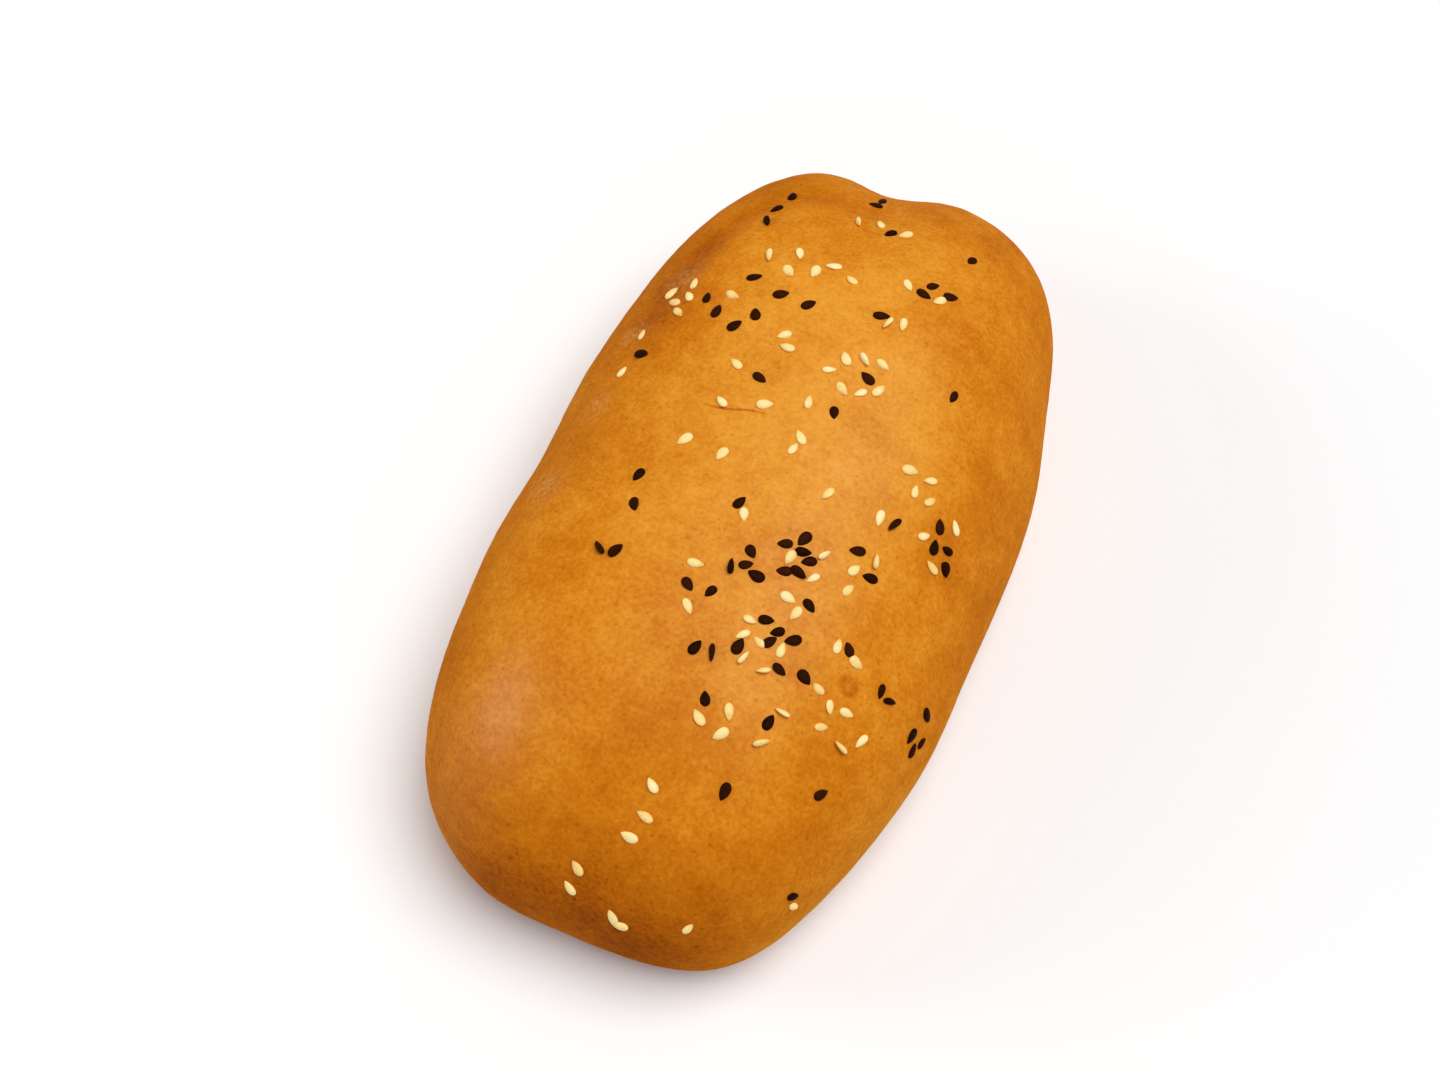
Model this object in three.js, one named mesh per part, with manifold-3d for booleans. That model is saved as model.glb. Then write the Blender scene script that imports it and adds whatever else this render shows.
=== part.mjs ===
// A closed sandwich bun: one oblong domed bread body with pale and black sesame seeds baked into its crust.
// Millimetres, +Z up. The origin is on the flat underside, below the middle of the bun's plan.
// +Y runs along the bun to its dented far end, and +X to its right side.
import * as THREE from "three";
import { mergeVertices } from "three/addons/utils/BufferGeometryUtils.js";
import Module from "manifold-3d";

// Bread: overall size
const LENGTH = 150.5;
const WIDTH = 82.5;
const CROWN_HEIGHT = 45;

// Bread: level of the widest outline, and how far the flat underside stays inside that outline
const BELLY_HEIGHT = 15;
const BASE_INSET = 8;

// Bread: roundness of the outline, and of the dome across the bun and along it
const OUTLINE_POWER = 2.7;
const SIDE_POWER = 2.5;
const END_POWER = 3.1;

// Bread: swells and hollows of the widest outline, by angle from +X and half-width in degrees, rise in mm
const OUTLINE_SWELLS = [
  { angle: 49, halfWidth: 15, rise: -2.1 }, // slack far right shoulder
  { angle: 95, halfWidth: 7.5, rise: -4.2 }, // dent in the far end
  { angle: 117, halfWidth: 14, rise: 0.7 }, // full far left shoulder
  { angle: 190, halfWidth: 16, rise: -0.6 }, // waist on the left
  { angle: 244, halfWidth: 14, rise: 2.2 }, // full near left corner
  { angle: 260, halfWidth: 7, rise: 0.7 }, // straighter near end
  { angle: 290, halfWidth: 9, rise: 1.8 }, // full near right corner
  { angle: 325, halfWidth: 14, rise: 0.9 }, // fuller right side
];

// Bread: broad swells and hollows of the crown, by centre, radius and rise
const CROWN_SWELLS = [
  { x: -31, y: -4, radius: 18, rise: -0.9 }, // hollow that runs in from the waist
  { x: -18, y: -44, radius: 20, rise: 1 },
  { x: 16, y: 40, radius: 22, rise: 0.8 },
  { x: 6, y: -12, radius: 20, rise: 0.6 },
];

// Bread: fold that follows the far left shoulder, at a share of the way out from the middle
const FOLD = { angle: 122, halfAngle: 22, share: 0.77, halfWidth: 0.055, depth: 1 };

// Bread: facets, and steps of the sampling
const AROUND = 80;
const CROWN_RINGS = 16;
const LOWER_RINGS = 5;
const OUTLINE_SAMPLES = 720;
const SLOPE_STEP = 0.2;
const MERGE_TOLERANCE = 1e-4;

// Sesame seed: size, how much its pointed end narrows, and how far its middle stands above the crust
const SEED_LENGTH = 2.62;
const SEED_WIDTH = 1.68;
const SEED_THICKNESS = 0.9;
const PALE_SLIMNESS = 0.88; // width of the hulled pale seeds as a share of the dark ones'
const SEED_TAPER = 0.38;
const SEED_LIFT = 0.12;
const SEED_SIZE_SPREAD = 0.13;
const SEED_SIDES = 6;
const SEED_RINGS = 3;

// Sesame seed: most lie flat within a small roll, a few lie on edge
const FLAT_ROLL = THREE.MathUtils.degToRad(16);
const EDGE_ROLL = THREE.MathUtils.degToRad(62);
const EDGE_SHARE = 0.13;
const EDGE_LIFT = 0.35;

// Sesame sprinkles: x, y, reach along x and along y of each patch, with its count of pale and of dark seeds
const SPRINKLES = [
  [-20, 50, 1, 5.5, 0, 3],
  [-5, 60, 0.6, 1.5, 0, 2],
  [-2, 52, 5, 2, 3, 1],
  [14, 52.5, 1, 1, 0, 1],
  [11, 41, 5, 1.5, 2, 3],
  [-9, 36.5, 8, 4, 6, 0],
  [8.5, 31.5, 2.5, 1, 2, 1],
  [-12.5, 26, 10, 6, 2, 7],
  [-26.5, 25, 3, 4, 5, 0],
  [21.5, 24.5, 1, 1, 0, 1],
  [-6, 20, 1, 1, 1, 0],
  [7, 19.5, 5, 4.5, 7, 1],
  [-29, 13, 2, 6, 2, 1],
  [4.5, 11.5, 3, 0.5, 1, 1],
  [-9.5, 9.5, 6.5, 4.2, 3, 1],
  [24, 7, 3.5, 2.2, 4, 0],
  [3.5, 3.5, 0.6, 1.4, 2, 0],
  [30, 0.5, 2.8, 4.6, 3, 4],
  [21.5, -1.5, 1.4, 1, 1, 1],
  [11.5, -2, 1, 1, 1, 0],
  [-10, -3, 5.5, 0.5, 2, 0],
  [0.5, -11, 1.4, 1, 1, 1],
  [21, -11, 2, 5, 3, 2],
  [-16, -14, 2.6, 3, 0, 2],
  [12.5, -14.5, 3.9, 3.6, 3, 6],
  [5, -19, 3.2, 2, 0, 4],
  [15, -22, 2.2, 1.4, 2, 1],
  [25, -24, 2.6, 1.2, 2, 1],
  [0, -25, 2.5, 4.5, 2, 2],
  [-15.5, -25.5, 1.7, 0.5, 0, 2],
  [38.3, -26, 1, 3.8, 0, 4],
  [32, -26.5, 1.2, 1, 0, 2],
  [13, -29.5, 4.4, 4.6, 6, 6],
  [21.5, -31.5, 1.3, 1.2, 1, 1],
  [5, -34.5, 1.5, 0.6, 0, 2],
  [28, -34.5, 3.5, 3, 5, 0],
  [19, -40.5, 0.9, 4.2, 2, 1],
  [10.5, -42.5, 3, 3.2, 3, 1],
  [29, -43.5, 1, 1, 0, 1],
  [16, -51, 1, 1, 0, 1],
  [31.5, -58, 1.1, 0.7, 1, 1],
  [6.5, -59, 0.8, 4.4, 3, 0],
  [18.5, -68.5, 1, 1, 1, 0],
  [0, -70, 0.4, 1.4, 2, 0],
  [8, -72.5, 1.2, 0.5, 2, 0],
];
const SPOTS_TRIED = 16;
const LAST_SHARE = 0.985;
const DRAW_START = 4236665;

// Random draws: the same row of numbers between 0 and 1 on every run
const DRAW_FACTOR = 16807;
const DRAW_MODULUS = 2147483647;
let drawState = DRAW_START;
function draw() {
  drawState = (drawState * DRAW_FACTOR) % DRAW_MODULUS;
  return drawState / DRAW_MODULUS;
}

const bell = (offset, reach) => Math.exp(-((offset / reach) ** 2));

// Signed difference of two angles in degrees, from -180 to 180
const turnBetween = (from, to) => THREE.MathUtils.euclideanModulo(to - from + 180, 360) - 180;

// Distance from the middle to the widest outline before it is fitted to the overall size
function outlineRadius(theta) {
  const across = Math.abs(Math.cos(theta) / (WIDTH / 2)) ** OUTLINE_POWER;
  const along = Math.abs(Math.sin(theta) / (LENGTH / 2)) ** OUTLINE_POWER;
  const degrees = THREE.MathUtils.radToDeg(theta);
  let radius = (across + along) ** (-1 / OUTLINE_POWER);
  for (const swell of OUTLINE_SWELLS) {
    radius += swell.rise * bell(turnBetween(swell.angle, degrees), swell.halfWidth);
  }
  return radius;
}

// The scale and shift that fit the swollen outline to LENGTH and WIDTH, centred on the origin
function fitOutline() {
  const box = new THREE.Box2();
  for (let i = 0; i < OUTLINE_SAMPLES; i++) {
    const theta = (i / OUTLINE_SAMPLES) * 2 * Math.PI;
    const radius = outlineRadius(theta);
    box.expandByPoint(new THREE.Vector2(radius * Math.cos(theta), radius * Math.sin(theta)));
  }
  const size = box.getSize(new THREE.Vector2());
  return { middle: box.getCenter(new THREE.Vector2()), scaleX: WIDTH / size.x, scaleY: LENGTH / size.y };
}
const fit = fitOutline();

// A point of the plan at an angle and a share of the way from the middle to the outline
function planPoint(theta, share) {
  const radius = share * outlineRadius(theta);
  return {
    x: (radius * Math.cos(theta) - fit.middle.x) * fit.scaleX,
    y: (radius * Math.sin(theta) - fit.middle.y) * fit.scaleY,
  };
}

// The angle and the share of the way out of a point of the plan
function planPolar(x, y) {
  const u = x / fit.scaleX + fit.middle.x;
  const v = y / fit.scaleY + fit.middle.y;
  const theta = Math.atan2(v, u);
  return { theta, share: Math.hypot(u, v) / outlineRadius(theta) };
}

// Height of the crown above the underside
function crownHeight(theta, share) {
  const { x, y } = planPoint(theta, share);
  const power = SIDE_POWER + (END_POWER - SIDE_POWER) * Math.sin(theta) ** 2;
  const dome = Math.sqrt(Math.max(0, 1 - share ** power));
  let height = BELLY_HEIGHT + (CROWN_HEIGHT - BELLY_HEIGHT) * dome;
  for (const swell of CROWN_SWELLS) {
    height += swell.rise * dome * bell(Math.hypot(x - swell.x, y - swell.y), swell.radius);
  }
  const foldTurn = turnBetween(FOLD.angle, THREE.MathUtils.radToDeg(theta));
  return height - FOLD.depth * bell(foldTurn, FOLD.halfAngle) * bell(share - FOLD.share, FOLD.halfWidth);
}

function crownAt(x, y) {
  const { theta, share } = planPolar(x, y);
  return crownHeight(theta, Math.min(share, 1));
}

// A solid from a closed geometry
const wasm = await Module();
wasm.setup();
function solidFrom(geometry) {
  const bare = geometry.clone();
  bare.deleteAttribute("normal");
  bare.deleteAttribute("uv");
  const merged = mergeVertices(bare, MERGE_TOLERANCE);
  const vertProperties = new Float32Array(merged.attributes.position.array);
  const triVerts = new Uint32Array(merged.index.array);
  return new wasm.Manifold(new wasm.Mesh({ numProp: 3, vertProperties, triVerts }));
}

function geometryFrom(solid) {
  const { vertProperties, triVerts } = solid.getMesh();
  const geometry = new THREE.BufferGeometry();
  geometry.setAttribute("position", new THREE.BufferAttribute(vertProperties, 3));
  geometry.setIndex(new THREE.BufferAttribute(triVerts, 1));
  geometry.computeVertexNormals();
  return geometry;
}

// Bread: a turned unit meridian, with its height from -1 at the underside through 0 at the belly to 1 at the
// top, pulled out to the outline and up to the crown
function breadGeometry() {
  const meridian = [new THREE.Vector2(0, -1)];
  for (let i = LOWER_RINGS; i > 0; i--) {
    const drop = (i / LOWER_RINGS) * (Math.PI / 2);
    meridian.push(new THREE.Vector2(1, -Math.sin(drop)));
  }
  for (let i = 0; i < CROWN_RINGS; i++) {
    const lift = (i / CROWN_RINGS) * (Math.PI / 2);
    meridian.push(new THREE.Vector2(Math.cos(lift), Math.sin(lift)));
  }
  meridian.push(new THREE.Vector2(0, 1));
  const geometry = new THREE.LatheGeometry(meridian, AROUND);
  geometry.rotateX(Math.PI / 2);
  const position = geometry.attributes.position;
  for (let i = 0; i < position.count; i++) {
    const theta = Math.atan2(position.getY(i), position.getX(i));
    const level = position.getZ(i);
    let share = Math.hypot(position.getX(i), position.getY(i));
    let height;
    if (level < 0) {
      const inset = BASE_INSET * (1 - Math.sqrt(Math.max(0, 1 - level ** 2)));
      share *= 1 - inset / outlineRadius(theta);
      height = BELLY_HEIGHT * (1 + level);
    } else {
      height = crownHeight(theta, share);
    }
    const { x, y } = planPoint(theta, share);
    position.setXYZ(i, x, y, height);
  }
  return geometry;
}

// Sesame seed: a flat drop with its point along +Y and its flat faces across Z
function seedGeometry() {
  const geometry = new THREE.SphereGeometry(1, SEED_SIDES, SEED_RINGS);
  const position = geometry.attributes.position;
  for (let i = 0; i < position.count; i++) {
    const along = position.getY(i);
    const narrowing = 1 - SEED_TAPER * along;
    position.setXYZ(
      i,
      (position.getX(i) * narrowing * SEED_WIDTH) / 2,
      (along * SEED_LENGTH) / 2,
      (position.getZ(i) * narrowing * SEED_THICKNESS) / 2,
    );
  }
  return geometry;
}

// Upward normal of the crown
function crownNormal(x, y) {
  const slopeX = (crownAt(x + SLOPE_STEP, y) - crownAt(x - SLOPE_STEP, y)) / (2 * SLOPE_STEP);
  const slopeY = (crownAt(x, y + SLOPE_STEP) - crownAt(x, y - SLOPE_STEP)) / (2 * SLOPE_STEP);
  return new THREE.Vector3(-slopeX, -slopeY, 1).normalize();
}

// The freest of a few spots in a patch, on the crust and far from the seeds that lie there already
function findSpot(patchX, patchY, reachX, reachY, taken) {
  let freest;
  let widestGap = -1;
  for (let i = 0; i < SPOTS_TRIED; i++) {
    const reach = Math.sqrt(draw());
    const turn = 2 * Math.PI * draw();
    const x = patchX + reachX * reach * Math.cos(turn);
    const y = patchY + reachY * reach * Math.sin(turn);
    const { theta, share } = planPolar(x, y);
    const inside = planPoint(theta, Math.min(share, LAST_SHARE));
    const spot = new THREE.Vector3(inside.x, inside.y, crownAt(inside.x, inside.y));
    const gap = Math.min(LENGTH, ...taken.map((other) => other.distanceTo(spot)));
    if (gap > widestGap) {
      freest = spot;
      widestGap = gap;
    }
  }
  taken.push(freest);
  return freest;
}

// Where each seed of the sprinkles lies, how it is turned and how large it is
function placeSeeds() {
  const taken = [];
  const places = [];
  for (const [patchX, patchY, reachX, reachY, pale, dark] of SPRINKLES) {
    for (let i = 0; i < pale + dark; i++) {
      const spot = findSpot(patchX, patchY, reachX, reachY, taken);
      const heading = 2 * Math.PI * draw();
      const onEdge = draw() < EDGE_SHARE;
      const roll = (2 * draw() - 1) * FLAT_ROLL + (onEdge ? EDGE_ROLL : 0);
      const size = 1 + SEED_SIZE_SPREAD * (2 * draw() - 1);
      const normal = crownNormal(spot.x, spot.y);
      const lift = SEED_LIFT + (onEdge ? EDGE_LIFT : 0);
      const turn = new THREE.Quaternion()
        .setFromUnitVectors(new THREE.Vector3(0, 0, 1), normal)
        .multiply(new THREE.Quaternion().setFromAxisAngle(new THREE.Vector3(0, 0, 1), heading))
        .multiply(new THREE.Quaternion().setFromAxisAngle(new THREE.Vector3(0, 1, 0), roll));
      const centre = spot.clone().addScaledVector(normal, lift);
      const width = i < pale ? size * PALE_SLIMNESS : size;
      places.push(new THREE.Matrix4().compose(centre, turn, new THREE.Vector3(width, size, size)));
    }
  }
  return places;
}

// The bun is the bread with every seed fused to its crust
function bunGeometry() {
  const seed = seedGeometry();
  let bun = solidFrom(breadGeometry());
  for (const place of placeSeeds()) {
    bun = bun.add(solidFrom(seed.clone().applyMatrix4(place)));
  }
  return geometryFrom(bun);
}

const crust = new THREE.MeshStandardMaterial({ color: 0xe0902f, roughness: 0.45, metalness: 0 });
const bun = new THREE.Mesh(bunGeometry(), crust);
bun.name = "bun";

const sandwich = new THREE.Group();
sandwich.add(bun);
export default sandwich;
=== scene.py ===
"""Looks of a closed sandwich bun: a smooth baked crust with a sprinkle of pale and black sesame seeds.

Metres, in the frame of the solid: +Z up, +Y along the bun to its dented far end, +X to its right side.
The origin is on the flat underside, below the middle of the bun's plan.
"""

import math

import bpy
import numpy as np
from mathutils import Matrix, Quaternion, Vector, noise


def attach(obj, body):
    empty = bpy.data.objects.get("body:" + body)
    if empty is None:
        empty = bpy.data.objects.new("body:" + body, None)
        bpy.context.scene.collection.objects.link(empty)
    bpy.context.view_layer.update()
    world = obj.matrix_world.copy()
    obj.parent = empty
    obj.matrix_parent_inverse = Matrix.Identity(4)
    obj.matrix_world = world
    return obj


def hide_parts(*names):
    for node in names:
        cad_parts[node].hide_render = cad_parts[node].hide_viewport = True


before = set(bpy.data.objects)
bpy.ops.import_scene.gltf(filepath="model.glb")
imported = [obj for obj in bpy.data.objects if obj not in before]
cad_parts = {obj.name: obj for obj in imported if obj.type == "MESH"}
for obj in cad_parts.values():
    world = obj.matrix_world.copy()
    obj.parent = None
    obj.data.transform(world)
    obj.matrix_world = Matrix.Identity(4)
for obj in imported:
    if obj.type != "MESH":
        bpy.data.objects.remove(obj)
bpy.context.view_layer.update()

MM = 0.001

# Bread: size and form, the same as the solid's
LENGTH = 150.5 * MM
WIDTH = 82.5 * MM
CROWN_HEIGHT = 45 * MM
BELLY_HEIGHT = 15 * MM
BASE_INSET = 8 * MM
OUTLINE_POWER = 2.7
SIDE_POWER = 2.5
END_POWER = 3.1
OUTLINE_SAMPLES = 720

# Bread: swells of the widest outline, by angle from +X and half-width in degrees, and rise
OUTLINE_SWELLS = [
    (49, 15, -2.1 * MM),  # slack far right shoulder
    (95, 7.5, -4.2 * MM),  # dent in the far end
    (117, 14, 0.7 * MM),  # full far left shoulder
    (190, 16, -0.6 * MM),  # waist on the left
    (244, 14, 2.2 * MM),  # full near left corner
    (260, 7, 0.7 * MM),  # straighter near end
    (290, 9, 1.8 * MM),  # full near right corner
    (325, 14, 0.9 * MM),  # fuller right side
]

# Bread: broad swells of the crown, by centre, radius and rise
CROWN_SWELLS = [
    (-31 * MM, -4 * MM, 18 * MM, -0.9 * MM),  # hollow that runs in from the waist
    (-18 * MM, -44 * MM, 20 * MM, 1 * MM),
    (16 * MM, 40 * MM, 22 * MM, 0.8 * MM),
    (6 * MM, -12 * MM, 20 * MM, 0.6 * MM),
]

# Bread: fold along the far left shoulder, by angle, half-angle, share of the way out, half-width and depth
FOLD_ANGLE = 122
FOLD_HALF_ANGLE = 22
FOLD_SHARE = 0.77
FOLD_HALF_WIDTH = 0.055
FOLD_DEPTH = 1 * MM

# Crust: mesh cells across and along the crown, and rings below it
GRID_ACROSS = 200
GRID_ALONG = 336
LOWER_RINGS = 14
BASE_RINGS = 6
RIM_CROWDING = 0.3

# Crust: relief that the skin adds to the bread, by size of the bumps and their height
UNEVEN_SIZE = 19 * MM
UNEVEN_HEIGHT = 0.3 * MM
RIPPLE_SIZE = 4.5 * MM
RIPPLE_HEIGHT = 0.07 * MM
GRAIN_SIZE = 1.5 * MM
GRAIN_HEIGHT = 0.035 * MM
FLOOR_CLEARANCE = 3 * MM

# Crust: short crack beside the middle, from end to end, with its half-widths, depth, bow and taper
CRACK_START = (-13 * MM, 4.6 * MM)
CRACK_END = (-2.6 * MM, 6.4 * MM)
CRACK_HALF_WIDTH = 0.5 * MM
CRACK_LINE_HALF_WIDTH = 0.34 * MM
CRACK_DEPTH = 0.35 * MM
CRACK_BOW = 0.3 * MM
CRACK_TAPER_POWER = 3

# Crust: print that a lost seed left behind, a dent with a browner edge
PRINT_PLACE = (26.6 * MM, -28.6 * MM)
PRINT_RADIUS = 1.1 * MM
PRINT_EDGE = 0.45 * MM
PRINT_DEPTH = 0.2 * MM

# Crust: patches that are browner (plus) or paler (minus) than the rest, by centre, reach and strength. Most
# are browning of the crust; three, marked below, are painted shade and painted light.
BROWNING_AND_PAINTED_LIGHT_PATCHES = [
    (3 * MM, 10 * MM, 24 * MM, 42 * MM, -0.19),  # middle of the crown
    (4 * MM, -76 * MM, 50 * MM, 30 * MM, 0.18),  # near end
    (10 * MM, -76 * MM, 38 * MM, 5.5 * MM, 0.3),  # low on the near end: painted shade, darker towards the bottom of the near end
    (-22 * MM, 62 * MM, 22 * MM, 16 * MM, 0.1),  # far left shoulder
    (-30 * MM, 25 * MM, 9 * MM, 19 * MM, 0.22),  # far left side: painted shade beside the fold
    (-20 * MM, -54 * MM, 10 * MM, 15 * MM, -0.085),  # near left corner: painted light, paler where the sheen light falls
    (28 * MM, 48 * MM, 16 * MM, 22 * MM, 0.1),  # far right shoulder
    (42 * MM, -2 * MM, 12 * MM, 30 * MM, 0.15),  # right side
    (-37 * MM, -18 * MM, 7 * MM, 26 * MM, 0.1),  # left side
    (35 * MM, -30 * MM, 8 * MM, 12 * MM, -0.07),  # near right side
    (-10 * MM, -30 * MM, 11 * MM, 16 * MM, 0.05),  # left of the seeds
    (14 * MM, -44 * MM, 10 * MM, 12 * MM, -0.06),  # below the seeds
]
CRUST_BROWNING = 0.46
# painted shade in the fold's groove
FOLD_PAINTED_SHADE = 0.16
# painted shade along the crack's line
CRACK_PAINTED_SHADE = 0.5
PRINT_BROWNING = 0.24
PALE_BAND_HEIGHT = 12 * MM
PALE_BAND_REACH = 7 * MM
PALE_BAND_STRENGTH = -0.14
BASE_BROWNING = 0.3

# Crust: how thick the egg wash lies, and where it lies thicker, by centre, reach and strength
GLAZE_ALL_OVER = 0.02
GLAZE_PATCHES = [
    (2 * MM, 2 * MM, 24 * MM, 45 * MM, 0.36),  # crown
    (-18 * MM, -55.5 * MM, 8 * MM, 11 * MM, 0.66),  # near left corner
]

# Crust: smudges of flour, by centre and reach
FLOUR_SMUDGES = [
    (-32 * MM, -15.5 * MM, 2.5 * MM, 3 * MM),
    (-29 * MM, 29.5 * MM, 2.5 * MM, 3.5 * MM),
    (-32 * MM, 17 * MM, 2 * MM, 2.5 * MM),
    (-31 * MM, 1.5 * MM, 2 * MM, 2.5 * MM),
]
FLOUR_COLOUR = (0.86, 0.56, 0.22)

# Crust: colours along its browning
CRUST_COLOURS = [
    (0.0, (0.82, 0.37, 0.075)),
    (0.25, (0.755, 0.306, 0.025)),
    (0.5, (0.6, 0.184, 0.0065)),
    (0.75, (0.43, 0.105, 0.002)),
    (1.0, (0.2, 0.038, 0.0015)),
]

# Crust: spots of noise, by size, detail, roughness, range of the noise and range that it is mapped to
TONE_SPOTS = [
    (14 * MM, 4, 0.55, (0.3, 0.7), (-0.1, 0.1)),  # broad mottling
    (3 * MM, 4, 0.65, (0.3, 0.7), (-0.07, 0.07)),  # blotches
    (0.7 * MM, 3, 0.6, (0.35, 0.7), (-0.07, 0.1)),  # fine grain
]
FLOUR_SPOTS = (0.8 * MM, 5, 0.7, (0.42, 0.7), (0, 0.4))
ROUGHNESS_SPOTS = (3 * MM, 3, 0.5, (0.3, 0.7), (0.42, 0.54))

# Crust: dark pores, by spacing, the shares of it where they start and cease to fade, and browning
PORE_SPACING = 1.7 * MM
PORE_CORE = 0.06
PORE_EDGE = 0.2
PORE_BROWNING = 0.14

# Crust: gloss of the egg wash, and fine bumps, by size, detail and roughness, then strength and depth
COAT_ROUGHNESS = 0.4
CRUST_BUMPS = (0.7 * MM, 4, 0.6)
CRUST_BUMP = (0.22, 0.2 * MM)

# Sesame seed: size and form, the same as the solid's
SEED_LENGTH = 2.62 * MM
SEED_WIDTH = 1.68 * MM
SEED_THICKNESS = 0.9 * MM
PALE_SLIMNESS = 0.88
SEED_LIFT = 0.12 * MM
SEED_SIZE_SPREAD = 0.13
FLAT_ROLL = math.radians(16)
EDGE_ROLL = math.radians(62)
EDGE_SHARE = 0.13
EDGE_LIFT = 0.35 * MM

# Sesame seed: mesh, and how its outline closes at the round end and at the point
SEED_SIDES = 16
SEED_RINGS = 12
ROUND_POWER = 0.5
POINT_POWER = 0.78
LENS_POWER = 1.2
SEED_SHAPE_SPREAD = 0.1
SEED_DIMPLE = 0.06
SEED_DIMPLE_WAVE = 3

# Pale sesame: colours, toast at the point, tone from seed to seed, flecks as spots, gloss and bumps
PALE_COLOURS = [
    (0.0, (0.97, 0.81, 0.42)),
    (0.4, (0.94, 0.69, 0.25)),
    (0.75, (0.82, 0.47, 0.13)),
    (1.0, (0.58, 0.27, 0.06)),
]
PALE_TOAST_START = 0.55
PALE_TOAST = 0.35
PALE_TONE = 0.5
PALE_FLECKS = (0.5 * MM, 3, 0.5, (0.35, 0.7), (-0.08, 0.12))
PALE_ROUGHNESS = 0.45
PALE_SPECULAR = 0.2
PALE_BUMPS = (0.25 * MM, 2, 0.5)
PALE_BUMP = (0.12, 0.06 * MM)

# Black sesame: colours, tone from seed to seed, flecks as spots, gloss and netted skin
BLACK_COLOURS = [
    (0.0, (0.012, 0.0025, 0.0004)),
    (1.0, (0.042, 0.0095, 0.0016)),
]
BLACK_TONE = 0.6
BLACK_FLECKS = (0.4 * MM, 3, 0.5, (0.35, 0.7), (0, 0.4))
BLACK_ROUGHNESS = 0.5
BLACK_SPECULAR = 0.02
BLACK_NET_SIZE = 0.22 * MM
BLACK_BUMP = (0.3, 0.05 * MM)

# Sesame sprinkles: x, y and reach along x and y of each patch in mm, and its pale and dark seeds
SPRINKLES_MM = [
    (-20, 50, 1, 5.5, 0, 3),
    (-5, 60, 0.6, 1.5, 0, 2),
    (-2, 52, 5, 2, 3, 1),
    (14, 52.5, 1, 1, 0, 1),
    (11, 41, 5, 1.5, 2, 3),
    (-9, 36.5, 8, 4, 6, 0),
    (8.5, 31.5, 2.5, 1, 2, 1),
    (-12.5, 26, 10, 6, 2, 7),
    (-26.5, 25, 3, 4, 5, 0),
    (21.5, 24.5, 1, 1, 0, 1),
    (-6, 20, 1, 1, 1, 0),
    (7, 19.5, 5, 4.5, 7, 1),
    (-29, 13, 2, 6, 2, 1),
    (4.5, 11.5, 3, 0.5, 1, 1),
    (-9.5, 9.5, 6.5, 4.2, 3, 1),
    (24, 7, 3.5, 2.2, 4, 0),
    (3.5, 3.5, 0.6, 1.4, 2, 0),
    (30, 0.5, 2.8, 4.6, 3, 4),
    (21.5, -1.5, 1.4, 1, 1, 1),
    (11.5, -2, 1, 1, 1, 0),
    (-10, -3, 5.5, 0.5, 2, 0),
    (0.5, -11, 1.4, 1, 1, 1),
    (21, -11, 2, 5, 3, 2),
    (-16, -14, 2.6, 3, 0, 2),
    (12.5, -14.5, 3.9, 3.6, 3, 6),
    (5, -19, 3.2, 2, 0, 4),
    (15, -22, 2.2, 1.4, 2, 1),
    (25, -24, 2.6, 1.2, 2, 1),
    (0, -25, 2.5, 4.5, 2, 2),
    (-15.5, -25.5, 1.7, 0.5, 0, 2),
    (38.3, -26, 1, 3.8, 0, 4),
    (32, -26.5, 1.2, 1, 0, 2),
    (13, -29.5, 4.4, 4.6, 6, 6),
    (21.5, -31.5, 1.3, 1.2, 1, 1),
    (5, -34.5, 1.5, 0.6, 0, 2),
    (28, -34.5, 3.5, 3, 5, 0),
    (19, -40.5, 0.9, 4.2, 2, 1),
    (10.5, -42.5, 3, 3.2, 3, 1),
    (29, -43.5, 1, 1, 0, 1),
    (16, -51, 1, 1, 0, 1),
    (31.5, -58, 1.1, 0.7, 1, 1),
    (6.5, -59, 0.8, 4.4, 3, 0),
    (18.5, -68.5, 1, 1, 1, 0),
    (0, -70, 0.4, 1.4, 2, 0),
    (8, -72.5, 1.2, 0.5, 2, 0),
]
SPOTS_TRIED = 16
LAST_SHARE = 0.985
SLOPE_STEP = 0.2 * MM

# Random draws: the sprinkle repeats the solid's own row of numbers
DRAW_FACTOR = 16807
DRAW_MODULUS = 2147483647
SPRINKLE_DRAW_START = 4236665
SEED_SHAPE_DRAW_START = 4177

# Camera of the photograph: angle, distance to the point it looks at, and lens
CAMERA_AZIMUTH = math.radians(25)
CAMERA_ELEVATION = math.radians(63)
CAMERA_DISTANCE = 310 * MM
CAMERA_TARGET = Vector((-6.1 * MM, -4.6 * MM, 18 * MM))
SENSOR_WIDTH_MM = 36
LENS_MM = 45.4
CAMERA_CLIP_START = 10 * MM

# Stage: floor and lights, each light by the direction it stands in, its distance, size and power
FLOOR_RADIUS = 1.8
FLOOR_SIDES = 96
FLOOR_COLOURS = [
    (0.3, (0.89, 0.89, 0.89)),
    (0.7, (0.91, 0.91, 0.91)),
]
FLOOR_SPOTS = (0.2, 2, 0.5)
FLOOR_ROUGHNESS = 0.9
FLOOR_SPECULAR = 0.1
KEY_LIGHT = ((0.28, 0.12, 0.94), 3.3, 2.7, 104.4)
SHEEN_LIGHT = ((-0.82, -0.3, 0.48), 0.9, 0.4, 1.7)
WORLD_STRENGTH = 0.24
BACKDROP_STRENGTH = 0.94


class Draws:
    """A row of numbers between 0 and 1 that is the same on every run."""

    def __init__(self, start):
        self.state = start

    def next(self):
        self.state = self.state * DRAW_FACTOR % DRAW_MODULUS
        return self.state / DRAW_MODULUS


def bell(offset, reach):
    return np.exp(-((offset / reach) ** 2))


def turn_between(start, end):
    """Signed difference of two angles in degrees, from -180 to 180."""
    return (end - start + 180) % 360 - 180


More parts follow.
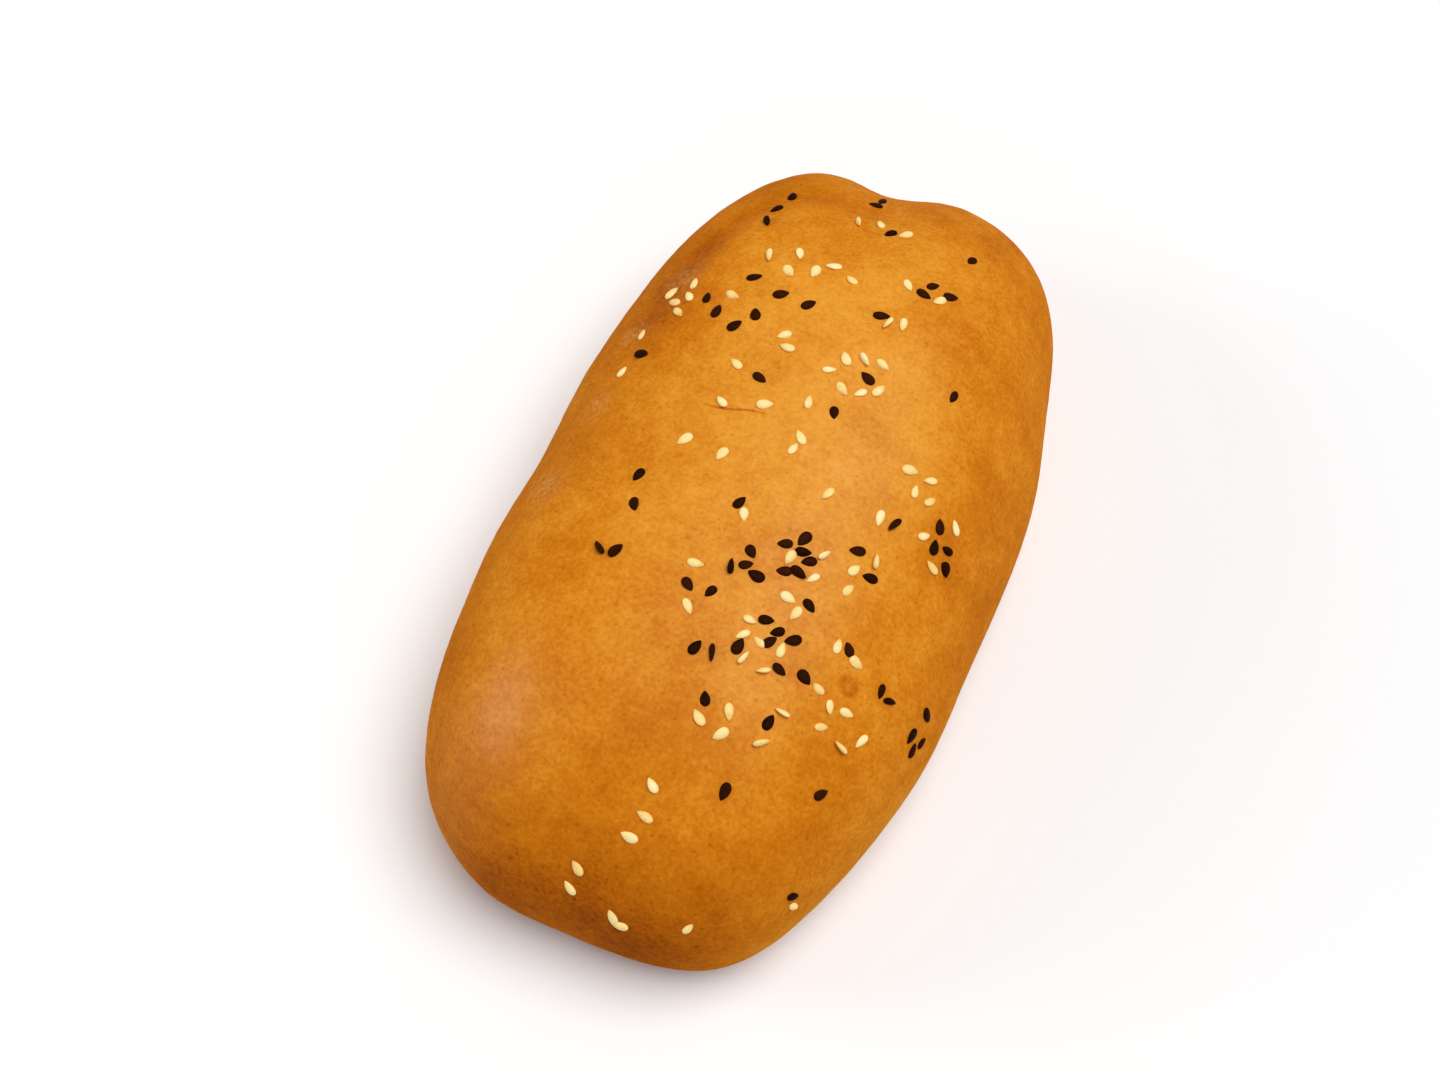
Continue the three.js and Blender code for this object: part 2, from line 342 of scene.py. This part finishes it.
def outline_radius(theta):
    """Distance from the middle to the widest outline before it is fitted to the overall size."""
    across = np.abs(np.cos(theta) / (WIDTH / 2)) ** OUTLINE_POWER
    along = np.abs(np.sin(theta) / (LENGTH / 2)) ** OUTLINE_POWER
    radius = (across + along) ** (-1 / OUTLINE_POWER)
    for angle, half_width, rise in OUTLINE_SWELLS:
        radius = radius + rise * bell(turn_between(angle, np.degrees(theta)), half_width)
    return radius


def fit_outline():
    """Middle of the swollen outline, and the scale that fits it to WIDTH and LENGTH."""
    theta = np.arange(OUTLINE_SAMPLES) / OUTLINE_SAMPLES * 2 * math.pi
    radius = outline_radius(theta)
    points = np.stack([radius * np.cos(theta), radius * np.sin(theta)], axis=1)
    low = points.min(axis=0)
    high = points.max(axis=0)
    return (low + high) / 2, np.array([WIDTH, LENGTH]) / (high - low)


OUTLINE_MIDDLE, OUTLINE_SCALE = fit_outline()


def plan_point(theta, share):
    """A point of the plan at an angle and a share of the way from the middle to the outline."""
    radius = share * outline_radius(theta)
    x = (radius * np.cos(theta) - OUTLINE_MIDDLE[0]) * OUTLINE_SCALE[0]
    y = (radius * np.sin(theta) - OUTLINE_MIDDLE[1]) * OUTLINE_SCALE[1]
    return x, y


def plan_polar(x, y):
    """The angle and the share of the way out of a point of the plan."""
    u = x / OUTLINE_SCALE[0] + OUTLINE_MIDDLE[0]
    v = y / OUTLINE_SCALE[1] + OUTLINE_MIDDLE[1]
    theta = np.arctan2(v, u)
    return theta, np.hypot(u, v) / outline_radius(theta)


def fold_at(theta, share):
    """How much of the fold's depth there is at a place, from 0 to 1."""
    turn = turn_between(FOLD_ANGLE, np.degrees(theta))
    return bell(turn, FOLD_HALF_ANGLE) * bell(share - FOLD_SHARE, FOLD_HALF_WIDTH)


def crown_height(theta, share):
    """Height of the crown above the underside."""
    x, y = plan_point(theta, share)
    power = SIDE_POWER + (END_POWER - SIDE_POWER) * np.sin(theta) ** 2
    dome = np.sqrt(np.maximum(0, 1 - share**power))
    height = BELLY_HEIGHT + (CROWN_HEIGHT - BELLY_HEIGHT) * dome
    for centre_x, centre_y, radius, rise in CROWN_SWELLS:
        height = height + rise * dome * bell(np.hypot(x - centre_x, y - centre_y), radius)
    return height - FOLD_DEPTH * fold_at(theta, share)


def crown_at(x, y):
    theta, share = plan_polar(x, y)
    return crown_height(theta, np.minimum(share, 1))


def crown_normal(x, y):
    slope_x = (crown_at(x + SLOPE_STEP, y) - crown_at(x - SLOPE_STEP, y)) / (2 * SLOPE_STEP)
    slope_y = (crown_at(x, y + SLOPE_STEP) - crown_at(x, y - SLOPE_STEP)) / (2 * SLOPE_STEP)
    return Vector((-slope_x, -slope_y, 1)).normalized()


def noise_field(points, size):
    """Smooth noise from -1 to 1 at each point, with bumps of about the given size."""
    return np.array([noise.noise(Vector(point) / size) for point in points])


def crack_place(x, y):
    """Distance of a place of the plan from the crack's line, and how open the crack is, from 0 to 1."""
    start = np.array(CRACK_START)
    line = np.array(CRACK_END) - start
    length = np.hypot(*line)
    along = ((x - start[0]) * line[0] + (y - start[1]) * line[1]) / length**2
    aside = ((x - start[0]) * -line[1] + (y - start[1]) * line[0]) / length
    aside = aside + CRACK_BOW * np.sin(along * math.pi * 2)
    return aside, np.clip(1 - np.abs(2 * along - 1) ** CRACK_TAPER_POWER, 0, 1)


def crack_at(x, y):
    """How much of the crack's depth there is at a place of the plan, from 0 to 1."""
    aside, opening = crack_place(x, y)
    return opening * bell(aside, CRACK_HALF_WIDTH)


def print_at(x, y):
    """How much of the seed print's depth, and of its edge, there is at a place of the plan, from 0 to 1."""
    distance = np.hypot(x - PRINT_PLACE[0], y - PRINT_PLACE[1])
    return bell(distance, PRINT_RADIUS), bell(distance - PRINT_RADIUS, PRINT_EDGE)


def skin_relief(points):
    """Height that the skin's own bumps and marks add to the bread, along its normal."""
    x, y, z = points.T
    height = UNEVEN_HEIGHT * noise_field(points, UNEVEN_SIZE)
    height += RIPPLE_HEIGHT * noise_field(points, RIPPLE_SIZE)
    height += GRAIN_HEIGHT * noise_field(points, GRAIN_SIZE)
    on_top = z > BELLY_HEIGHT
    height -= on_top * CRACK_DEPTH * crack_at(x, y)
    print_dent, _ = print_at(x, y)
    height -= on_top * PRINT_DEPTH * print_dent
    return height * np.clip(z / FLOOR_CLEARANCE, 0, 1)


def patch_at(x, y, centre_x, centre_y, reach_x, reach_y):
    """How much of a patch there is at a place of the plan, from 0 to 1."""
    return bell(np.hypot((x - centre_x) / reach_x, (y - centre_y) / reach_y), 1)


def browning_and_painted_light(points):
    """How far the crust is baked, from 0 for pale gold to 1 for deep brown, with painted shade in the fold,
    beside it and low on the near end, and painted light at the near left corner.
    """
    x, y, z = points.T
    theta, share = plan_polar(x, y)
    on_top = z > BELLY_HEIGHT
    brown = np.full(len(points), CRUST_BROWNING)
    # browning patches, with painted shade and painted light among them
    for *patch, strength in BROWNING_AND_PAINTED_LIGHT_PATCHES:
        brown += strength * patch_at(x, y, *patch)
    # painted shade in the fold's groove
    brown += on_top * FOLD_PAINTED_SHADE * fold_at(theta, share)
    _, print_edge = print_at(x, y)
    brown += on_top * PRINT_BROWNING * print_edge
    brown += PALE_BAND_STRENGTH * bell(z - PALE_BAND_HEIGHT, PALE_BAND_REACH)
    brown += BASE_BROWNING * bell(z, FLOOR_CLEARANCE)
    return np.clip(brown, 0, 1)


def egg_wash(points):
    """How thick the glossy egg wash lies on the crust, from 0 to 1."""
    x, y, z = points.T
    wash = np.full(len(points), GLAZE_ALL_OVER)
    for *patch, strength in GLAZE_PATCHES:
        wash += strength * (z > BELLY_HEIGHT) * patch_at(x, y, *patch)
    return np.clip(wash, 0, 1)


def flour_dust(points):
    """How much flour clings to the crust, from 0 to 1."""
    x, y, z = points.T
    flour = np.zeros(len(points))
    for smudge in FLOUR_SMUDGES:
        flour += patch_at(x, y, *smudge)
    return np.clip(flour * (z > BELLY_HEIGHT), 0, 1)


def new_piece(name, vertices, faces, material):
    """A smooth mesh object made from arrays."""
    mesh = bpy.data.meshes.new(name)
    mesh.from_pydata([tuple(v) for v in vertices], [], [tuple(f) for f in faces])
    mesh.shade_smooth()
    mesh.materials.append(material)
    piece = bpy.data.objects.new(name, mesh)
    bpy.context.scene.collection.objects.link(piece)
    return piece


def set_attribute(mesh, name, values):
    attribute = mesh.attributes.new(name, "FLOAT", "POINT")
    attribute.data.foreach_set("value", np.asarray(values, dtype=np.float32))


def crown_grid():
    """Crown vertices on a square grid bent into the outline, so that no cell shrinks to a point."""
    across, along = np.meshgrid(np.linspace(-1, 1, GRID_ACROSS + 1), np.linspace(-1, 1, GRID_ALONG + 1))
    u = across * np.sqrt(1 - along**2 / 2)
    v = along * np.sqrt(1 - across**2 / 2)
    theta = np.arctan2(v * LENGTH, u * WIDTH)
    reach = np.minimum(np.hypot(u, v), 1)
    crowded = (1 - RIM_CROWDING) * reach + RIM_CROWDING * reach**2
    share = np.sin(crowded * math.pi / 2)
    x, y = plan_point(theta, share)
    return theta, np.stack([x, y, crown_height(theta, share)], axis=-1)


def crust_mesh():
    """Vertices and faces of the closed crust: crown grid, rings down to the base and rings across it."""
    theta, crown = crown_grid()
    index = np.arange(theta.size).reshape(theta.shape)
    vertices = [crown.reshape(-1, 3)]
    corners = [index[:-1, :-1], index[:-1, 1:], index[1:, 1:], index[1:, :-1]]
    faces = np.stack(corners, axis=-1).reshape(-1, 4).tolist()
    rim = np.concatenate([index[0, :-1], index[:-1, -1], index[-1, :0:-1], index[:0:-1, 0]])
    rim_theta = theta.reshape(-1)[rim]
    count = len(rim)
    total = theta.size
    above = rim
    edge_share = 1 - BASE_INSET / outline_radius(rim_theta)
    for ring in range(1, LOWER_RINGS + BASE_RINGS):
        if ring <= LOWER_RINGS:
            drop = ring / LOWER_RINGS * math.pi / 2
            share = 1 - (1 - edge_share) * (1 - math.cos(drop))
            height = BELLY_HEIGHT * (1 - math.sin(drop))
        else:
            share = edge_share * (1 - (ring - LOWER_RINGS) / BASE_RINGS)
            height = 0
        x, y = plan_point(rim_theta, share)
        vertices.append(np.stack([x, y, np.full(count, height)], axis=1))
        below = total + np.arange(count)
        total += count
        faces += np.stack([above, below, np.roll(below, -1), np.roll(above, -1)], axis=1).tolist()
        above = below
    x, y = plan_point(0.0, 0.0)
    vertices.append(np.array([[x, y, 0]]))
    faces += [(a, total, b) for a, b in zip(above.tolist(), np.roll(above, -1).tolist())]
    return np.concatenate(vertices), faces


def make_crust(material):
    """The bread's skin: relief along the normals, with marks for how baked it is together with painted
    shade and light, gloss, flour and crack.
    """
    vertices, faces = crust_mesh()
    crust = new_piece("crust", vertices, faces, material)
    mesh = crust.data
    normals = np.array([normal.vector[:] for normal in mesh.vertex_normals])
    relief = skin_relief(vertices)
    aside, opening = crack_place(*vertices.T[:2])
    set_attribute(mesh, "crack_aside", aside)
    set_attribute(mesh, "crack_opening", opening * (vertices[:, 2] > BELLY_HEIGHT))
    set_attribute(mesh, "browning_and_painted_light", browning_and_painted_light(vertices))
    set_attribute(mesh, "egg_wash", egg_wash(vertices))
    set_attribute(mesh, "flour", flour_dust(vertices))
    mesh.vertices.foreach_set("co", (vertices + normals * relief[:, None]).ravel())
    mesh.update()
    return crust


def seed_profile():
    """Rings of a unit drop along +Y: where each ring lies and how wide it is, the widest being 1."""
    along = -np.cos(np.linspace(0, math.pi, SEED_RINGS + 1))
    width = (1 + along) ** ROUND_POWER * (1 - along) ** POINT_POWER
    return along, width / width.max()


def seed_mesh(draws):
    """Vertices and faces of one seed, a flat drop with its point along +Y and its flat faces across Z."""
    along, width = seed_profile()
    widen = 1 + SEED_SHAPE_SPREAD * (2 * draws.next() - 1)
    thicken = 1 + SEED_SHAPE_SPREAD * (2 * draws.next() - 1)
    bow = SEED_SHAPE_SPREAD * (2 * draws.next() - 1)
    angles = np.arange(SEED_SIDES) / SEED_SIDES * 2 * math.pi
    lens = np.sign(np.sin(angles)) * np.abs(np.sin(angles)) ** LENS_POWER
    vertices = [(0, -SEED_LENGTH / 2, 0)]
    for place, wide in zip(along[1:-1], width[1:-1]):
        bend = bow * (1 - place**2) * SEED_WIDTH / 2
        dimple = 1 - SEED_DIMPLE * math.cos(SEED_DIMPLE_WAVE * place)
        for angle, thin in zip(angles, lens):
            x = math.cos(angle) * wide * widen * SEED_WIDTH / 2 + bend
            z = thin * wide * dimple * thicken * SEED_THICKNESS / 2
            vertices.append((x, place * SEED_LENGTH / 2, z))
    vertices.append((0, SEED_LENGTH / 2, 0))
    last = len(vertices) - 1
    faces = []
    for side in range(SEED_SIDES):
        after = (side + 1) % SEED_SIDES
        faces.append((0, 1 + side, 1 + after))
        faces.append((last, last - SEED_SIDES + after, last - SEED_SIDES + side))
        for ring in range(SEED_RINGS - 2):
            low = 1 + ring * SEED_SIDES
            high = low + SEED_SIDES
            faces.append((low + side, high + side, high + after, low + after))
    return np.array(vertices), faces


def find_spot(patch, taken, draws):
    """The freest of a few spots in a patch, on the crust and far from the seeds that lie there already."""
    centre_x, centre_y, reach_x, reach_y = (value * MM for value in patch)
    widest_gap = -1
    for _ in range(SPOTS_TRIED):
        reach = math.sqrt(draws.next())
        turn = 2 * math.pi * draws.next()
        x = centre_x + reach_x * reach * math.cos(turn)
        y = centre_y + reach_y * reach * math.sin(turn)
        theta, share = plan_polar(x, y)
        x, y = plan_point(theta, min(share, LAST_SHARE))
        spot = Vector((x, y, crown_at(x, y)))
        gap = min([LENGTH] + [(spot - other).length for other in taken])
        if gap > widest_gap:
            freest = spot
            widest_gap = gap
    taken.append(freest)
    return freest


def place_seeds():
    """Places of the pale and of the dark seeds, each a turn, a shift and a size in one matrix."""
    draws = Draws(SPRINKLE_DRAW_START)
    taken = []
    pale = []
    dark = []
    for *patch, pale_count, dark_count in SPRINKLES_MM:
        for number in range(pale_count + dark_count):
            spot = find_spot(patch, taken, draws)
            heading = 2 * math.pi * draws.next()
            on_edge = draws.next() < EDGE_SHARE
            roll = (2 * draws.next() - 1) * FLAT_ROLL + (EDGE_ROLL if on_edge else 0)
            size = 1 + SEED_SIZE_SPREAD * (2 * draws.next() - 1)
            normal = crown_normal(spot.x, spot.y)
            lift = SEED_LIFT + (EDGE_LIFT if on_edge else 0) + skin_relief(np.array([spot]))[0]
            turn = Vector((0, 0, 1)).rotation_difference(normal)
            turn = turn @ Quaternion((0, 0, 1), heading) @ Quaternion((0, 1, 0), roll)
            is_pale = number < pale_count
            width = size * PALE_SLIMNESS if is_pale else size
            place = Matrix.LocRotScale(spot + normal * lift, turn, Vector((width, size, size)))
            (pale if is_pale else dark).append(place)
    return pale, dark


def make_seeds(name, places, draws, material):
    """One piece with all seeds of a kind, each seed with its own tone, each point with its place along."""
    vertices = []
    faces = []
    tones = []
    alongs = []
    for place in places:
        shape, shape_faces = seed_mesh(draws)
        start = len(vertices)
        turned = shape @ np.array(place.to_3x3()).T + np.array(place.translation)
        vertices.extend(turned.tolist())
        faces.extend(tuple(start + corner for corner in face) for face in shape_faces)
        tones.extend([draws.next()] * len(shape))
        alongs.extend((shape[:, 1] / SEED_LENGTH + 0.5).tolist())
    seeds = new_piece(name, vertices, faces, material)
    set_attribute(seeds.data, "tone", tones)
    set_attribute(seeds.data, "along", alongs)
    return seeds


class NodeTree:
    """Short ways to add nodes to a material and link them."""

    # Colour sockets of a Mix node
    MIX_FIRST = 6
    MIX_SECOND = 7
    MIX_RESULT = 2

    def __init__(self, name):
        self.material = bpy.data.materials.new(name)
        self.material.use_nodes = True
        self.nodes = self.material.node_tree.nodes
        self.links = self.material.node_tree.links
        self.shader = self.nodes["Principled BSDF"]
        self.place = self.nodes.new("ShaderNodeTexCoord").outputs["Object"]

    def link(self, source, target):
        self.links.new(source, target)

    def attribute(self, name):
        node = self.nodes.new("ShaderNodeAttribute")
        node.attribute_name = name
        return node.outputs["Fac"]

    def noise(self, size, detail, roughness):
        """Noise from 0 to 1 with bumps of about the given size."""
        node = self.nodes.new("ShaderNodeTexNoise")
        node.inputs["Scale"].default_value = 1 / size
        node.inputs["Detail"].default_value = detail
        node.inputs["Roughness"].default_value = roughness
        self.link(self.place, node.inputs["Vector"])
        return node.outputs["Fac"]

    def cells(self, size):
        """Distance to the nearest of many scattered points, from 0 at the point."""
        node = self.nodes.new("ShaderNodeTexVoronoi")
        node.inputs["Scale"].default_value = 1 / size
        self.link(self.place, node.inputs["Vector"])
        return node.outputs["Distance"]

    def span(self, value, low, high, out_low, out_high):
        """Maps a value from one range to another, held at both ends."""
        node = self.nodes.new("ShaderNodeMapRange")
        self.link(value, node.inputs["Value"])
        node.inputs["From Min"].default_value = low
        node.inputs["From Max"].default_value = high
        node.inputs["To Min"].default_value = out_low
        node.inputs["To Max"].default_value = out_high
        return node.outputs["Result"]

    def spots(self, size, detail, roughness, noise_range, mapped_range):
        """Noise with a part of its range mapped to another range."""
        return self.span(self.noise(size, detail, roughness), *noise_range, *mapped_range)

    def math(self, operation, first, second):
        node = self.nodes.new("ShaderNodeMath")
        node.operation = operation
        for socket, value in zip(node.inputs, (first, second)):
            if isinstance(value, (int, float)):
                socket.default_value = value
            else:
                self.link(value, socket)
        return node.outputs["Value"]

    def ramp(self, value, stops):
        """Colours along a value, as (position, colour) stops."""
        node = self.nodes.new("ShaderNodeValToRGB")
        elements = node.color_ramp.elements
        while len(elements) < len(stops):
            elements.new(1.0)
        for element, (position, colour) in zip(elements, stops):
            element.position = position
            element.color = (*colour, 1)
        self.link(value, node.inputs["Fac"])
        return node.outputs["Color"]

    def mix(self, share, first, colour):
        """The first colour with a share of a plain one laid over it."""
        node = self.nodes.new("ShaderNodeMix")
        node.data_type = "RGBA"
        self.link(share, node.inputs["Factor"])
        self.link(first, node.inputs[self.MIX_FIRST])
        node.inputs[self.MIX_SECOND].default_value = (*colour, 1)
        return node.outputs[self.MIX_RESULT]

    def bump(self, height, strength, depth):
        node = self.nodes.new("ShaderNodeBump")
        node.inputs["Strength"].default_value = strength
        node.inputs["Distance"].default_value = depth
        self.link(height, node.inputs["Height"])
        self.link(node.outputs["Normal"], self.shader.inputs["Normal"])

    def set(self, **values):
        """Sets plain values on the shader, by socket name with _ for a space."""
        for name, value in values.items():
            self.shader.inputs[name.replace("_", " ")].default_value = value


def crust_material():
    """Egg-washed crust: gold to brown by how baked it is, with the painted shade and light carried along,
    mottled, with pores, a crack line of painted shade, flour and satin skin.
    """
    tree = NodeTree("crust")
    # how baked the crust is, with painted shade and painted light mixed in
    brown = tree.attribute("browning_and_painted_light")
    for spots in TONE_SPOTS:
        brown = tree.math("ADD", brown, tree.spots(*spots))
    pores = tree.span(tree.cells(PORE_SPACING), PORE_CORE, PORE_EDGE, PORE_BROWNING, 0)
    # painted shade along the crack's line
    crack = tree.math("ABSOLUTE", tree.attribute("crack_aside"), 0)
    crack = tree.span(crack, 0, CRACK_LINE_HALF_WIDTH, CRACK_PAINTED_SHADE, 0)
    crack = tree.math("MULTIPLY", crack, tree.attribute("crack_opening"))
    for mark in (pores, crack):
        brown = tree.math("ADD", brown, mark)
    flour = tree.math("MULTIPLY", tree.attribute("flour"), tree.spots(*FLOUR_SPOTS))
    colour = tree.mix(flour, tree.ramp(brown, CRUST_COLOURS), FLOUR_COLOUR)
    tree.link(colour, tree.shader.inputs["Base Color"])
    tree.link(tree.spots(*ROUGHNESS_SPOTS), tree.shader.inputs["Roughness"])
    tree.link(tree.attribute("egg_wash"), tree.shader.inputs["Coat Weight"])
    tree.set(Specular_IOR_Level=0.0, Coat_Roughness=COAT_ROUGHNESS)
    tree.bump(tree.noise(*CRUST_BUMPS), *CRUST_BUMP)
    return tree.material


def pale_sesame_material():
    """Hulled seed: ivory, a little toasted at the point, each seed with its own tone."""
    tree = NodeTree("pale_sesame")
    toast = tree.span(tree.attribute("along"), PALE_TOAST_START, 1, 0, PALE_TOAST)
    tone = tree.span(tree.attribute("tone"), 0, 1, 0, PALE_TONE)
    shade = tree.math("ADD", tree.math("ADD", toast, tone), tree.spots(*PALE_FLECKS))
    tree.link(tree.ramp(shade, PALE_COLOURS), tree.shader.inputs["Base Color"])
    tree.set(Roughness=PALE_ROUGHNESS, Specular_IOR_Level=PALE_SPECULAR)
    tree.bump(tree.noise(*PALE_BUMPS), *PALE_BUMP)
    return tree.material


def black_sesame_material():
    """Unhulled seed: near black with a brown cast, finely netted and dull, each seed with its own tone."""
    tree = NodeTree("black_sesame")
    tone = tree.span(tree.attribute("tone"), 0, 1, 0, BLACK_TONE)
    shade = tree.math("ADD", tone, tree.spots(*BLACK_FLECKS))
    tree.link(tree.ramp(shade, BLACK_COLOURS), tree.shader.inputs["Base Color"])
    tree.set(Roughness=BLACK_ROUGHNESS, Specular_IOR_Level=BLACK_SPECULAR)
    tree.bump(tree.cells(BLACK_NET_SIZE), *BLACK_BUMP)
    return tree.material


def floor_material():
    tree = NodeTree("floor")
    colour = tree.ramp(tree.noise(*FLOOR_SPOTS), FLOOR_COLOURS)
    tree.link(colour, tree.shader.inputs["Base Color"])
    tree.set(Roughness=FLOOR_ROUGHNESS, Specular_IOR_Level=FLOOR_SPECULAR)
    return tree.material


def make_floor():
    turns = np.arange(FLOOR_SIDES) / FLOOR_SIDES * 2 * math.pi
    rim = [(FLOOR_RADIUS * math.cos(t), FLOOR_RADIUS * math.sin(t), 0) for t in turns]
    return new_piece("floor", rim, [range(FLOOR_SIDES)], floor_material())


def aim(thing, place, target):
    """Puts a camera or light at a place, facing the target."""
    thing.location = place
    thing.rotation_euler = (target - place).to_track_quat("-Z", "Y").to_euler()


def make_light(name, direction, distance, size, power):
    lamp = bpy.data.lights.new(name, "AREA")
    lamp.shape = "DISK"
    lamp.size = size
    lamp.energy = power
    light = bpy.data.objects.new(name, lamp)
    bpy.context.scene.collection.objects.link(light)
    aim(light, CAMERA_TARGET + Vector(direction).normalized() * distance, CAMERA_TARGET)


def make_world():
    """An even pale room: bright to look at, dimmer as a light."""
    world = bpy.data.worlds.new("room")
    world.use_nodes = True
    nodes = world.node_tree.nodes
    links = world.node_tree.links
    background = nodes["Background"]
    background.inputs["Color"].default_value = (1, 1, 1, 1)
    rays = nodes.new("ShaderNodeLightPath")
    strength = nodes.new("ShaderNodeMapRange")
    strength.inputs["To Min"].default_value = WORLD_STRENGTH
    strength.inputs["To Max"].default_value = BACKDROP_STRENGTH
    links.new(rays.outputs["Is Camera Ray"], strength.inputs["Value"])
    links.new(strength.outputs["Result"], background.inputs["Strength"])
    bpy.context.scene.world = world


def make_camera():
    lens = bpy.data.cameras.new("camera")
    lens.sensor_fit = "HORIZONTAL"
    lens.sensor_width = SENSOR_WIDTH_MM
    lens.lens = LENS_MM
    lens.clip_start = CAMERA_CLIP_START
    camera = bpy.data.objects.new("camera", lens)
    bpy.context.scene.collection.objects.link(camera)
    level = math.cos(CAMERA_ELEVATION)
    across = math.sin(CAMERA_AZIMUTH) * level
    along = -math.cos(CAMERA_AZIMUTH) * level
    back = Vector((across, along, math.sin(CAMERA_ELEVATION)))
    aim(camera, CAMERA_TARGET + back * CAMERA_DISTANCE, CAMERA_TARGET)
    bpy.context.scene.camera = camera


crust = make_crust(crust_material())
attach(crust, "root")
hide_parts("bun")

pale_places, dark_places = place_seeds()
shape_draws = Draws(SEED_SHAPE_DRAW_START)
pale_sesame = make_seeds("pale_sesame", pale_places, shape_draws, pale_sesame_material())
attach(pale_sesame, "root")
black_sesame = make_seeds("black_sesame", dark_places, shape_draws, black_sesame_material())
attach(black_sesame, "root")

make_floor()
make_light("key", *KEY_LIGHT)
make_light("sheen", *SHEEN_LIGHT)
make_world()
make_camera()
bpy.context.scene.view_settings.view_transform = "Standard"
